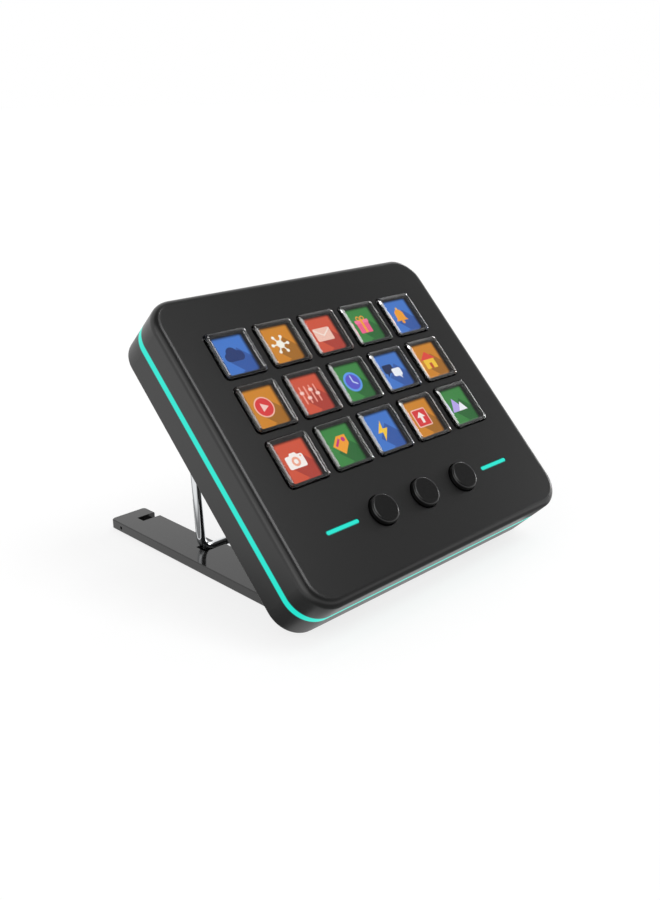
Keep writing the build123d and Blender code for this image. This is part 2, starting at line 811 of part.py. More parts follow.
# Bearings of the wire prop, flush with the rear face
for name, side in (("left", -1), ("right", 1)):
    with BuildPart() as prop_bearing:
        with BuildSketch(at_depth(bearing_floor)):
            with Locations((side * bearing_middle, pivot_up)):
                Rectangle(bearing_width, 2 * bearing_half_height)
        extrude(amount=-(body_depth - bearing_floor))
        with BuildSketch(at_depth(body_depth)):
            with Locations((side * tab_middle, pivot_up)):
                Rectangle(bearing_tab_length, 2 * bearing_half_height)
        extrude(amount=bearing_tab_thickness)
        with BuildSketch(across_world(side * bearing_middle - bearing_width / 2, prop_pivot)):
            Circle(wire_radius + bearing_fit)
        extrude(amount=bearing_width, mode=Mode.SUBTRACT)
        with BuildSketch(at_depth(body_depth)):
            with Locations((side * tab_middle, pivot_up)):
                Circle(small_screw_radius + screw_play)
        extrude(amount=bearing_tab_thickness, mode=Mode.SUBTRACT)
    save(prop_bearing, f"prop_bearing_{name}")

# Wire prop: one bent rod, its ends turned in to run in the bearings
with BuildPart() as prop_wire:
    with BuildLine(prop_plane) as prop_path:
        FilletPolyline(
            (-stub_end, 0),
            (-prop_half_width, 0),
            (-prop_half_width, -prop_length),
            (prop_half_width, -prop_length),
            (prop_half_width, 0),
            (stub_end, 0),
            radius=[top_bend, foot_bend, foot_bend, top_bend],
        )
    with BuildSketch(Plane(origin=prop_path.line @ 0, z_dir=prop_path.line % 0)):
        Circle(wire_radius)
    sweep()
save(prop_wire, "prop_wire")

# Hinge pins, pressed into the ears
pin_start = knuckle_inner - barrel_gap - ear_length
pin_length = knuckle_outer - knuckle_inner + 2 * (barrel_gap + ear_length)
for name, start in (("left", -pin_start - pin_length), ("right", pin_start)):
    with BuildPart() as hinge_pin:
        with BuildSketch(across_world(start, hinge_point)):
            Circle(pin_radius)
        extrude(amount=pin_length)
        chamfer(hinge_pin.edges().filter_by(GeomType.CIRCLE), length=0.2)
    save(hinge_pin, f"hinge_pin_{name}")

# Stand plate: a fork open to the rear, with the prop's groove across both arms
plate_front = hinge_y + plate_front_gap
plate_rear = hinge_y + plate_reach
plate_middle = (plate_front + plate_rear) / 2
plate_top = Plane.XY.offset(pad_proud + plate_thickness)
groove_rear = foot_point.Y + wire_radius + groove_rear_gap
groove_front = foot_point.Y - wire_radius - groove_front_gap
groove_depth = plate_thickness - groove_floor
rear_groove = hinge_y + rear_groove_reach
plate_top_height = pad_proud + plate_thickness
lead_in_point = Vector(0, groove_front, plate_top_height)
with BuildPart() as stand_plate:
    with BuildSketch(Plane.XY.offset(pad_proud)) as plate_outline:
        with Locations((0, plate_middle)):
            Rectangle(plate_width, plate_rear - plate_front)
        with Locations((0, (groove_front + plate_rear) / 2)):
            Rectangle(2 * window_half_width, plate_rear - groove_front, mode=Mode.SUBTRACT)
        fillet(plate_outline.vertices().group_by(Axis.Y)[-1], radius=plate_corner)
        fillet(plate_outline.vertices().group_by(Axis.Y)[0], radius=plate_front_corner)
    extrude(amount=plate_thickness)
    chamfer(stand_plate.faces().sort_by(Axis.Z)[-1].edges(), length=plate_edge)
    chamfer(stand_plate.faces().sort_by(Axis.Z)[0].edges(), length=plate_edge)
    with BuildSketch(plate_top):
        for side in (-1, 1):
            with Locations((side * groove_half_width / 2, rear_groove)):
                Rectangle(groove_half_width, rear_groove_length)
            with Locations((side * groove_half_width / 2, (groove_front + groove_rear) / 2)):
                Rectangle(groove_half_width, groove_rear - groove_front)
    extrude(amount=-groove_depth, mode=Mode.SUBTRACT)
    # Lead-in slope of the groove, along the foot's path
    with BuildSketch(across_world(-groove_half_width, lead_in_point)):
        with BuildLine():
            Polyline(
                (0, -groove_lead_in),
                (0, groove_lead_in),
                (-2 * groove_lead_in, groove_lead_in),
                (0, -groove_lead_in),
            )
        make_face()
    extrude(amount=2 * groove_half_width, mode=Mode.SUBTRACT)
    # Finger recess in front of the wire's foot
    with BuildSketch(plate_top) as finger_recess:
        with Locations((0, groove_front - finger_length / 2)):
            Rectangle(2 * finger_half_width, finger_length)
        fillet(finger_recess.vertices().group_by(Axis.Y)[0], radius=finger_corner)
    extrude(amount=-groove_depth, mode=Mode.SUBTRACT)
    # Knuckles that reach round the hinge pins
    for start in (knuckle_inner, -knuckle_outer):
        with BuildSketch(across_world(start, hinge_point)):
            Circle(barrel_radius)
        extrude(amount=knuckle_outer - knuckle_inner)
    with BuildSketch(Plane.XY.offset(pad_proud)):
        for side in (-1, 1):
            with Locations((side * (knuckle_inner + knuckle_outer) / 2,
                            hinge_y + (neck_gap + plate_front_gap + plate_edge) / 2)):
                Rectangle(knuckle_outer - knuckle_inner, plate_front_gap + plate_edge - neck_gap)
    extrude(amount=plate_thickness)
    for start in (knuckle_inner, -knuckle_outer):
        with BuildSketch(across_world(start, hinge_point)):
            Circle(pin_radius + pin_running_fit)
        extrude(amount=knuckle_outer - knuckle_inner, mode=Mode.SUBTRACT)
    # Seats of the anti-slip pads and a small hole in each arm's outer side
    with BuildSketch(Plane.XY.offset(pad_proud)):
        for side in (-1, 1):
            with Locations((side * pad_offset, hinge_y + front_pad_reach),
                           (side * pad_offset, hinge_y + rear_pad_reach)):
                Circle(pad_radius)
    extrude(amount=pad_thickness - pad_proud, mode=Mode.SUBTRACT)
    hole_point = Vector(0, rear_groove + rear_groove_length / 2, pad_proud + plate_thickness / 2)
    for start in (-plate_width / 2, plate_width / 2 - side_hole_depth):
        with BuildSketch(across_world(start, hole_point)):
            Circle(side_hole_radius)
        extrude(amount=side_hole_depth, mode=Mode.SUBTRACT)
save(stand_plate, "stand_plate")

with BuildPart() as plate_pads:
    with BuildSketch():
        for side in (-1, 1):
            with Locations((side * pad_offset, hinge_y + front_pad_reach),
                           (side * pad_offset, hinge_y + rear_pad_reach)):
                Circle(pad_radius)
    extrude(amount=pad_thickness)
save(plate_pads, "plate_pads")

# Screws: heads with a round drive recess
with BuildPart() as housing_screws:
    head_depth = body_depth - housing_screw_sink + housing_screw_head
    with BuildSketch(at_depth(head_depth)):
        with Locations(*corner_screws):
            Circle(housing_screw_head_radius)
    extrude(amount=housing_screw_head)
    with BuildSketch(at_depth(head_depth)):
        with Locations(*corner_screws):
            Circle(housing_screw_radius)
    extrude(amount=head_depth - housing_screw_tip)
    with BuildSketch(at_depth(head_depth)):
        with Locations(*corner_screws):
            RegularPolygon(large_drive_radius, 6)
    extrude(amount=large_drive_depth, mode=Mode.SUBTRACT)
save(housing_screws, "housing_screws")

with BuildPart() as panel_screws:
    for places, seat in ((tray_posts, tray_back), (button_posts, button_board_back)):
        with BuildSketch(at_depth(seat)):
            with Locations(*places):
                Circle(small_screw_head_radius)
        extrude(amount=-small_screw_head)
        with BuildSketch(at_depth(seat)):
            with Locations(*places):
                Circle(small_screw_radius)
        extrude(amount=small_screw_length)
        with BuildSketch(at_depth(seat + small_screw_head)):
            with Locations(*places):
                RegularPolygon(drive_radius, 6)
        extrude(amount=drive_depth, mode=Mode.SUBTRACT)
save(panel_screws, "panel_screws")

with BuildPart() as board_screws:
    with BuildSketch(at_depth(main_board_depth)):
        with Locations(*standoffs):
            Circle(small_screw_head_radius)
    extrude(amount=small_screw_head)
    with BuildSketch(at_depth(main_board_depth)):
        with Locations(*standoffs):
            Circle(small_screw_radius)
    extrude(amount=-small_screw_length)
    with BuildSketch(at_depth(main_board_depth - small_screw_head)):
        with Locations(*standoffs):
            RegularPolygon(drive_radius, 6)
    extrude(amount=-drive_depth, mode=Mode.SUBTRACT)
save(board_screws, "board_screws")

with BuildPart() as bearing_screws:
    with BuildSketch(at_depth(body_depth)):
        with Locations((-tab_middle, pivot_up), (tab_middle, pivot_up)):
            Circle(small_screw_head_radius)
    extrude(amount=-bearing_screw_head)
    with BuildSketch(at_depth(body_depth)):
        with Locations((-tab_middle, pivot_up), (tab_middle, pivot_up)):
            Circle(small_screw_radius)
    extrude(amount=small_screw_length)
    with BuildSketch(at_depth(body_depth + bearing_screw_head)):
        with Locations((-tab_middle, pivot_up), (tab_middle, pivot_up)):
            RegularPolygon(drive_radius, 6)
    extrude(amount=drive_depth, mode=Mode.SUBTRACT)
save(bearing_screws, "bearing_screws")

print("hinge", hinge_point)
print("prop pivot", prop_pivot, "foot", foot_point, "length", prop_length)
print("prop folds", prop_fold_angle)
print("cable socket", usb_plane.origin)
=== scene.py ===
"""Dresses the stream controller: its shells, lit keys, wire prop and stand, and the studio."""

from math import cos, pi, radians, sin, tan

import bpy
from bpy.props import FloatProperty, FloatVectorProperty, PointerProperty
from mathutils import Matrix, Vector


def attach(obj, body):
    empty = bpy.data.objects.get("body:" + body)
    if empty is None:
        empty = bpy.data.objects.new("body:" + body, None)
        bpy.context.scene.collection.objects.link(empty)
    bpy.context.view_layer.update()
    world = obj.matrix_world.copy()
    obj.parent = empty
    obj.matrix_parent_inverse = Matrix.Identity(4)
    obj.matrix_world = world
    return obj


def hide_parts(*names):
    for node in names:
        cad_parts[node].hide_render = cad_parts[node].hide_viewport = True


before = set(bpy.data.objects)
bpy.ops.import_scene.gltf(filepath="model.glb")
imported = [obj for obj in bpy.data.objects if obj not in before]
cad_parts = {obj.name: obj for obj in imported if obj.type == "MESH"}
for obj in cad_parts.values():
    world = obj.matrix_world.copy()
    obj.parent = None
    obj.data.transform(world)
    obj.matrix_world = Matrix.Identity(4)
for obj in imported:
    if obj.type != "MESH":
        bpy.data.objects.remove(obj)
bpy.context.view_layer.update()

bl_info = {
    "name": "Stream controller",
    "version": (1, 0, 0),
    "blender": (4, 5, 0),
    "location": "View3D > Sidebar > Controller",
    "description": "Builds a stream controller with clear display keys on a folding stand",
    "category": "Object",
}

MM = 0.001

# The panel leans back 45 degrees. Its middle lies here, in millimetres, in the frame of the part.
SLOPE = radians(45)
PANEL_Y = -22.909
PANEL_Z = 53.668
UP_SLOPE = Vector((0, cos(SLOPE), sin(SLOPE)))
OUT_OF_PANEL = Vector((0, -sin(SLOPE), cos(SLOPE)))

# Sizes in millimetres. Heights are over the panel, so what lies inside it is below zero.
BODY_WIDTH = 120.0
BODY_HEIGHT = 106.2
BODY_CORNER = 10.0
BAND_FRONT = -9.2
BAND_BACK = -11.8
BAND_THICKNESS = 3.2
BAND_RIM = 0.25

KEY_PITCH = 19.2
KEYS_UP = 10.5
KEY_ROWS = 3
KEY_COLUMNS = 5

CAP_SIZE = 16.2
CAP_CORNER = 1.4
CAP_TOP = 1.2
CAP_CAVITY = 14.4
CAP_CAVITY_CORNER = 0.8
CAP_CEILING = -0.05
CAP_FLANGE = 18.0
CAP_FLANGE_CORNER = 1.6
CAP_FLANGE_TOP = -2.1
CAP_FOOT = -2.9

# The round shoulder under the bevel: how much narrower than the cap, and how high over the place
# that lies BEVEL_DROP below the face.
CAP_SHOULDER = (0.0, -0.22), (0.0, -0.2), (0.06, -0.08), (0.2, 0.01)

# The bevel leans less and less towards the face, and its corners lose BEVEL_CORNER_LOSS of radius.
BEVEL_WIDTH = 1.3
BEVEL_DROP = 0.45
BEVEL_START = 0.2
BEVEL_START_RISE = 0.07
BEVEL_LEAN_OUTSIDE = 24
BEVEL_LEAN_INSIDE = 14
BEVEL_STEPS = 6
BEVEL_CORNER_LOSS = 0.8
# The hold keeps the face flat beside the bevel.
FACE_HOLD = 0.2

# The black film in each cap is painted shade that darkens its walls and the picture under its
# bevels.
# The film inside a cap keeps FILM_GAP from it and ends FILM_FOOT above the cap's foot.
FILM_GAP = 0.02
FILM_THICKNESS = 0.05
FILM_FOOT = 0.1
FILM_WINDOW = 12.6, 13.3
FILM_WINDOW_CORNER = 0.5
FILM_WINDOW_SHIFT = 0.2, -0.15

# Each layer of a picture lies LAYER_STEP over the last one, and each shape in it SHAPE_STEP.
PICTURE_HALF = 6.9
PICTURE_UP = 0.2
PICTURE_HEIGHT = -1.6
LAYER_STEP = 0.02
SHAPE_STEP = 0.0006
SHADOW_REACH = 2.4

# From these shares of its width and height, painted shade dims a picture to what is left at the
# edge.
PAINTED_SHADE_RIGHT = 0.9
PAINTED_SHADE_TOP = 0.92
PAINTED_SHADE_LEFTOVER = 0.1

# The holds keep the button's side and its face flat beside the round edge between them.
BUTTON_RADIUS = 5.0
BUTTON_TOP = 2.0
BUTTON_EDGE = 0.8
BUTTON_SIDE_HOLD = 0.2
BUTTON_FACE_HOLD = 0.3
BUTTON_FLANGE = 6.2
BUTTON_FLANGE_TOP = -2.1
BUTTON_FOOT = -3.0
BUTTONS_UP = -32.7

BAR_LENGTH = 13.6
BAR_WIDTH = 1.5
BAR_EDGE = 0.2
BAR_EDGE_DROP = 0.15
BAR_OFFSET = 36.5
BAR_FOOT = -5.4

# The wire turns about its ends at the pivot, and its foot lies in the plate's groove.
WIRE_HALF_WIDTH = 40.6
WIRE_END = 33.3
WIRE_TOP_BEND = 3.3
PIVOT_Y, PIVOT_Z = 21.6385, 72.053
FOOT_Y, FOOT_Z = 16.7211, 3.15

# The photograph's camera: lens in millimetres, place in metres, turn in degrees.
LENS = 40.166
SENSOR_WIDTH = 36.0
CLIP_START = 0.01
CAMERA_PLACE = -0.227815, -0.232608, 0.151988
CAMERA_TURN = 69.9433, 0.0455, -44.9301

# Name, direction, spread in degrees and strength of each lamp.
LAMPS = (
    ("key_softbox", (0.268, -0.493, 0.827), 26, 0.85),
    ("left_softbox", (-0.85, -0.2, 0.45), 60, 0.8),
    ("glint_behind", (0.88, 0.36, 0.31), 10, 0.26),
    ("glint_right", (0.967, -0.18, 0.15), 10, 0.34),
    ("glint_above", (0.3, -0.03, 0.94), 10, 0.15),
)

# The floor: half its side in metres, the light it scatters and the light it gives off.
FLOOR_HALF = 6.0
PAPER_WHITE = (0.26, 0.26, 0.26, 1)
PAPER_GLOW = 0.78

# The dark ring that mirrors see on the floor is painted shade: it darkens what the part's lower
# edges mirror. In millimetres: the lines beside the part and in front of it that distances count
# from, how fast they count in front, and the span they cover.
# Then shares of that span: where the floor starts to dim, and from where to where it is darkest.
RING_SIDE = 58.0
RING_FRONT = 53.0
RING_FRONT_RATE = 0.5
RING_SPAN = -10.0, 40.0
RING_START = 0.18
RING_DARKEST = 0.24, 0.55
RING_SHADE_GREY = (0.1, 0.1, 0.1, 1)

# The room's light, and the grey ceiling that mirrors see: its tilt, where it begins and ends.
ROOM_LIGHT = 0.5
CEILING_GREY = 0.18
CEILING_TILT = -0.5
CEILING_FADE = 0.45, 0.72

# Width in millimetres of the clouds in a mottled finish, and the shares of the noise they use.
MOTTLE_WIDTH = 9.0
MOTTLE_RANGE = 0.3, 0.7

# Width and depth of each finish's grain in millimetres. Such grains are about 0.1 mm wide, too fine
# for the render, so they are drawn as coarse as they need to show.
MOULD_GRAIN = {"grain_mm": 0.5, "grain_depth_mm": 0.004}
METAL_GRAIN = {"grain_mm": 0.3, "grain_depth_mm": 0.003}
RUBBER_GRAIN = {"grain_mm": 0.6, "grain_depth_mm": 0.02}


def linear(hex_colour):
    """An sRGB hex colour as linear red, green, blue and alpha."""
    channels = [int(hex_colour[i : i + 2], 16) / 255 for i in (0, 2, 4)]
    return [c / 12.92 if c <= 0.04045 else ((c + 0.055) / 1.055) ** 2.4 for c in channels] + [1.0]


def add_node(tree, kind, inputs=None, **settings):
    """Adds a shader node, sets its properties and either links or fills its inputs."""
    node = tree.nodes.new(kind)
    for name, value in settings.items():
        setattr(node, name, value)
    for name, value in (inputs or {}).items():
        if isinstance(value, bpy.types.NodeSocket):
            tree.links.new(value, node.inputs[name])
        else:
            node.inputs[name].default_value = value
    return node


def new_material(name):
    """An empty node material and its node tree."""
    material = bpy.data.materials.new(name)
    material.use_nodes = True
    material.node_tree.nodes.clear()
    return material, material.node_tree


def seen_in_mirror(tree, path):
    """1 for light that a mirror or glass passes on to the camera, else 0."""
    glossy, glass = path.outputs["Is Glossy Ray"], path.outputs["Is Transmission Ray"]
    either = add_node(tree, "ShaderNodeMath", {0: glossy, 1: glass}, operation="MAXIMUM")
    return either.outputs["Value"]


def surface(name, inputs, grain_mm=0.0, grain_depth_mm=0.0, mottle=0.0):
    """A material on one Principled shader, with an optional moulded grain and a faint mottle."""
    material, tree = new_material(name)
    spot = add_node(tree, "ShaderNodeTexCoord").outputs["Object"]
    if mottle:
        clouds = add_node(
            tree,
            "ShaderNodeTexNoise",
            {"Vector": spot, "Scale": 1 / (MOTTLE_WIDTH * MM), "Detail": 3.0},
        )
        ramp = add_node(tree, "ShaderNodeValToRGB", {"Fac": clouds.outputs["Fac"]})
        stops = zip(ramp.color_ramp.elements, MOTTLE_RANGE, (1 - mottle, 1 + mottle))
        for stop, position, strength in stops:
            stop.position = position
            stop.color = [c * strength for c in inputs["Base Color"][:3]] + [1]
        inputs = {**inputs, "Base Color": ramp.outputs["Color"]}
    if grain_mm:
        grit = add_node(
            tree,
            "ShaderNodeTexNoise",
            {"Vector": spot, "Scale": 1 / (grain_mm * MM), "Detail": 2.0},
        )
        bump = add_node(
            tree,
            "ShaderNodeBump",
            {"Height": grit.outputs["Fac"], "Distance": grain_depth_mm * MM, "Strength": 1.0},
        )
        inputs = {**inputs, "Normal": bump.outputs["Normal"]}
    shader = add_node(tree, "ShaderNodeBsdfPrincipled", inputs)
    add_node(tree, "ShaderNodeOutputMaterial", {"Surface": shader.outputs["BSDF"]})
    return material


def moulded_abs_front():
    """Fine spark-eroded texture on black ABS: an even, very dark grey with a wide soft sheen."""
    return surface(
        "Moulded ABS, fine texture",
        {"Base Color": linear("0e0e0e"), "Roughness": 0.31, "IOR": 1.53},
        mottle=0.04,
        **MOULD_GRAIN,
    )


def moulded_abs_rear():
    """The same ABS in another mould, a shade lighter."""
    return surface(
        "Moulded ABS, satin",
        {"Base Color": linear("1b1b1b"), "Roughness": 0.38, "IOR": 1.53},
        mottle=0.04,
        **MOULD_GRAIN,
    )


def polished_abs():
    """ABS from a polished mould: the plate mirrors the wire that stands on it."""
    return surface(
        "Polished ABS",
        {"Base Color": linear("2c2c2c"), "Roughness": 0.1, "IOR": 1.5},
        mottle=0.04,
    )


def button_abs():
    """Black ABS of the round buttons, polished: a dark disc with a small bright rim light."""
    return surface(
        "Polished ABS, black",
        {"Base Color": linear("0c0c0c"), "Roughness": 0.22, "IOR": 1.5},
        mottle=0.04,
    )


def chromed_rod():
    """Drawn steel rod, bright chrome plated: a mirror that shows the room in long bands."""
    return surface(
        "Chromed steel rod",
        {"Base Color": linear("dfe1e3"), "Metallic": 1.0, "Roughness": 0.04},
    )


def bright_steel():
    """Ground steel of the pins and the socket: a soft grey mirror with a fine grain."""
    return surface(
        "Ground steel",
        {"Base Color": linear("a9abad"), "Metallic": 1.0, "Roughness": 0.28},
        **METAL_GRAIN,
    )


def blackened_steel():
    """Black zinc on small screws: dark, with a dull metal edge light."""
    return surface(
        "Black zinc plated steel",
        {"Base Color": linear("2a2a2b"), "Metallic": 1.0, "Roughness": 0.38},
        **METAL_GRAIN,
    )


def light_guide(colour):
    """Frosted acrylic lit from behind: glows evenly and hides the lights behind it."""
    return surface(
        "Frosted acrylic, lit",
        {
            "Base Color": linear("0a3a36"),
            "Roughness": 0.4,
            "IOR": 1.49,
            "Specular IOR Level": 0.25,
            "Emission Color": colour,
            "Emission Strength": 0.9,
        },
        mottle=0.03,
    )


def light_guide_edge(colour):
    """The rim of the same acrylic in the joint between the shells, where less light comes out."""
    return surface(
        "Frosted acrylic, dim edge",
        {
            "Base Color": linear("06302c"),
            "Roughness": 0.3,
            "IOR": 1.49,
            "Emission Color": colour,
            "Emission Strength": 0.3,
        },
        mottle=0.03,
    )


def clear_cap():
    """Polished polycarbonate: the room shows in its bevels and the picture through its face."""
    return surface(
        "Clear polycarbonate",
        {
            "Base Color": linear("ffffff"),
            "Roughness": 0.0,
            "IOR": 1.585,
            "Transmission Weight": 1.0,
        },
    )


def painted_shade_film():
    """Matt black film inside each cap: a dark frame round the picture, painted shade for the cap's
    walls and bevels.
    """
    return surface(
        "Black film, painted shade",
        {"Base Color": linear("060606"), "Roughness": 0.6},
        mottle=0.04,
    )


def rubber():
    """Moulded black rubber: no shine."""
    return surface(
        "Moulded rubber",
        {"Base Color": linear("171717"), "Roughness": 0.85, "IOR": 1.52},
        **RUBBER_GRAIN,
    )


def bearing_acetal():
    """Black acetal of the wire's bearings: waxy and low in gloss."""
    return surface(
        "Moulded acetal",
        {"Base Color": linear("1c1c1d"), "Roughness": 0.5, "IOR": 1.48},
        mottle=0.05,
    )


def inner_part(name, colour, roughness, metallic=0.0):
    """The finish of a part that the shells hide, with a faint mottle."""
    inputs = {"Base Color": linear(colour), "Roughness": roughness, "Metallic": metallic}
    return surface(name, inputs, mottle=0.05)


def display_pixels(colour):
    """One flat colour of a lit display picture, with painted shade that dims it towards its right
    and top edges.
    """
    name = f"Lit display pixels {colour}"
    if name in bpy.data.materials:
        return bpy.data.materials[name]
    material, tree = new_material(name)
    spot = add_node(tree, "ShaderNodeUVMap", uv_map="picture")
    axes = add_node(tree, "ShaderNodeSeparateXYZ", {0: spot.outputs["UV"]})
    # Painted shade: towards its right and top edges the picture dims to a near black.
    painted_shades = []
    for axis, start in (("X", PAINTED_SHADE_RIGHT), ("Y", PAINTED_SHADE_TOP)):
        shade_ramp = add_node(
            tree,
            "ShaderNodeMapRange",
            {
                "Value": axes.outputs[axis],
                "From Min": start,
                "From Max": 1.0,
                "To Min": 1.0,
                "To Max": PAINTED_SHADE_LEFTOVER,
            },
            interpolation_type="SMOOTHSTEP",
        )
        painted_shades.append(shade_ramp.outputs["Result"])
    shade = add_node(tree, "ShaderNodeMath", dict(enumerate(painted_shades)), operation="MULTIPLY")
    inputs = {"Factor": shade.outputs["Value"], "A": linear("050505"), "B": linear(colour)}
    lit = add_node(tree, "ShaderNodeMix", inputs, data_type="RGBA")
    shader = add_node(
        tree,
        "ShaderNodeBsdfPrincipled",
        {
            "Base Color": linear("060606"),
            "Roughness": 0.5,
            "Specular IOR Level": 0.1,
            "Emission Color": lit.outputs["Result"],
            "Emission Strength": 1.05,
        },
    )
    add_node(tree, "ShaderNodeOutputMaterial", {"Surface": shader.outputs["BSDF"]})
    return material


def on_panel(u, v, n):
    """A place across, up and out of the panel in millimetres, as metres in the part's frame."""
    spot = Vector((u, PANEL_Y, PANEL_Z)) + UP_SLOPE * v + OUT_OF_PANEL * n
    return spot * MM


def at_height(loop, n):
    """A flat loop at a height over the panel, as points in the part's frame."""
    return [on_panel(u, v, n) for u, v in loop]


def place(x, y, z):
    """A place in the part's frame, millimetres to metres."""
    return Vector((x, y, z)) * MM


def every_key():
    """Row, column and tag of each key, and its middle on the panel."""
    for row in range(KEY_ROWS):
        for column in range(KEY_COLUMNS):
            across = (column - (KEY_COLUMNS - 1) / 2) * KEY_PITCH
            up = KEYS_UP + ((KEY_ROWS - 1) / 2 - row) * KEY_PITCH
            yield row, column, f"{row + 1}{column + 1}", (across, up)


def arc(x, y, radius, start, end, steps):
    """Points along an arc in the plane, angles in degrees."""
    turns = [radians(start + (end - start) * i / steps) for i in range(steps + 1)]
    return [(x + radius * cos(turn), y + radius * sin(turn)) for turn in turns]


def rounded_loop(width, height, radius, steps, centre=(0.0, 0.0)):
    """Points of a rectangle with round corners, counter-clockwise."""
    across, up = width / 2 - radius, height / 2 - radius
    corners = ((across, up, 0), (-across, up, 90), (-across, -up, 180), (across, -up, 270))
    points = []
    for x, y, start in corners:
        points += arc(centre[0] + x, centre[1] + y, radius, start, start + 90, steps)
    return points


def circle_loop(radius, steps, centre):
    """Points of a circle, counter-clockwise."""
    return arc(centre[0], centre[1], radius, 0, 360, steps)[:-1]


def slot_loop(length, width, steps, centre):
    """Points of a slot with round ends, counter-clockwise."""
    reach = (length - width) / 2
    right = arc(centre[0] + reach, centre[1], width / 2, -90, 90, steps)
    left = arc(centre[0] - reach, centre[1], width / 2, 90, 270, steps)
    return right + left


def skin(rings, closed=False):
    """Vertices and faces through rings of points: a capped solid, or a frame closed on itself."""
    count = len(rings[0])
    verts = [point for ring in rings for point in ring]
    faces = []
    for r in range(len(rings) if closed else len(rings) - 1):
        here, there = r * count, (r + 1) % len(rings) * count
        for i in range(count):
            j = (i + 1) % count
            faces.append((here + i, here + j, there + j, there + i))
    if not closed:
        faces.append(tuple(reversed(range(count))))
        faces.append(tuple(range((len(rings) - 1) * count, len(rings) * count)))
    return verts, faces


def make_piece(name, geometry, materials, body, slots=None, smooth_below=14.0):
    """A piece that rides on one body. Edges that turn by over smooth_below degrees stay sharp."""
    verts, faces = geometry
    mesh = bpy.data.meshes.new(name)
    mesh.from_pydata([tuple(v) for v in verts], [], faces)
    for material in materials:
        mesh.materials.append(material)
    if slots:
        for polygon, index in zip(mesh.polygons, slots):
            polygon.material_index = index
    mesh.update()
    mesh.shade_smooth()
    mesh.set_sharp_from_angle(angle=radians(smooth_below))
    piece = bpy.data.objects.new(name, mesh)
    bpy.context.scene.collection.objects.link(piece)
    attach(piece, body)
    return piece


def stacked(levels, steps, centre):
    """A solid of rounded squares: levels are (side, corner radius, height over the panel)."""
    rings = []
    for side, radius, n in levels:
        rings.append(at_height(rounded_loop(side, side, radius, steps, centre), n))
    return skin(rings)


def turned(profile, centre, steps=72):
    """A solid turned about an axis out of the panel: profile is (radius, height over panel)."""
    return skin([at_height(circle_loop(radius, steps, centre), n) for radius, n in profile])


def tube(path, radius, sides=40):
    """A round rod along a path of points in metres, its ends closed."""
    rings = []
    side = (path[1] - path[0]).normalized().orthogonal().normalized()
    for i, point in enumerate(path):
        tangent = (path[min(i + 1, len(path) - 1)] - path[max(i - 1, 0)]).normalized()
        side = (side - tangent * side.dot(tangent)).normalized()
        across = tangent.cross(side)
        turns = [2 * pi * k / sides for k in range(sides)]
        rings.append([point + side * radius * cos(a) + across * radius * sin(a) for a in turns])
    return skin(rings)


def bent_path(corners, radii, steps=20):
    """Points along straight runs joined by arcs; radii belong to the inner corners."""
    path = [corners[0]]
    for before, corner, after, radius in zip(corners, corners[1:], corners[2:], radii):
        back = (before - corner).normalized()
        ahead = (after - corner).normalized()
        half = back.angle(ahead) / 2
        middle = corner + (back + ahead).normalized() * (radius / sin(half))
        start = corner + back * (radius / tan(half)) - middle
        end = corner + ahead * (radius / tan(half)) - middle
        swing = start.angle(end)
        for step in range(steps + 1):
            t = step / steps
            path.append(middle + (start * sin((1 - t) * swing) + end * sin(t * swing)) / sin(swing))
    path.append(corners[-1])
    return path


def cap_levels():
    """A clear cap from the ceiling of its cavity, round its foot and flange, to its flat face."""
    face = CAP_SIZE - 2 * BEVEL_WIDTH
    face_corner = CAP_CORNER - BEVEL_CORNER_LOSS
    shoulder = CAP_TOP - BEVEL_DROP
    levels = [
        (CAP_CAVITY, CAP_CAVITY_CORNER, CAP_CEILING),
        (CAP_CAVITY, CAP_CAVITY_CORNER, CAP_FOOT),
        (CAP_FLANGE, CAP_FLANGE_CORNER, CAP_FOOT),
        (CAP_FLANGE, CAP_FLANGE_CORNER, CAP_FLANGE_TOP),
        (CAP_SIZE, CAP_CORNER, CAP_FLANGE_TOP),
    ]
    levels += [(CAP_SIZE - less, CAP_CORNER, shoulder + n) for less, n in CAP_SHOULDER]
    start, n = CAP_SIZE / 2 - BEVEL_START, shoulder + BEVEL_START_RISE
    run = (start - face / 2) / BEVEL_STEPS
    for step in range(BEVEL_STEPS):
        corner = CAP_CORNER - BEVEL_CORNER_LOSS * step / BEVEL_STEPS
        levels.append((2 * (start - run * step), corner, n))
        inwards = (step + 0.5) / BEVEL_STEPS
        lean = BEVEL_LEAN_OUTSIDE + (BEVEL_LEAN_INSIDE - BEVEL_LEAN_OUTSIDE) * inwards
        n += run * tan(radians(lean))
    levels.append((face, face_corner, CAP_TOP))
    levels.append((face - FACE_HOLD, face_corner - FACE_HOLD / 2, CAP_TOP))
    return levels


def film_rings(centre):
    """The film of painted shade that lines a cap's cavity: down its outside, up its inside, round
    its window.
    """
    outside = CAP_CAVITY - 2 * FILM_GAP
    inside = outside - 2 * FILM_THICKNESS
    corner = CAP_CAVITY_CORNER - FILM_GAP
    outer = rounded_loop(outside, outside, corner, 6, centre)
    inner = rounded_loop(inside, inside, corner - FILM_THICKNESS, 6, centre)
    middle = centre[0] + FILM_WINDOW_SHIFT[0], centre[1] + FILM_WINDOW_SHIFT[1]
    window = rounded_loop(*FILM_WINDOW, FILM_WINDOW_CORNER, 6, middle)
    top = CAP_CEILING - 2 * FILM_GAP
    under, foot = top - FILM_THICKNESS, CAP_FOOT + FILM_FOOT
    lining = (outer, top), (outer, foot), (inner, foot), (inner, under)
    frame_edge = (window, under), (window, top)
    return [at_height(loop, n) for loop, n in lining + frame_edge]


def dress(nodes, material):
    """Gives CAD nodes their finish."""
    for name in nodes:
        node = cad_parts[name]
        node.data.materials.clear()
        node.data.materials.append(material)


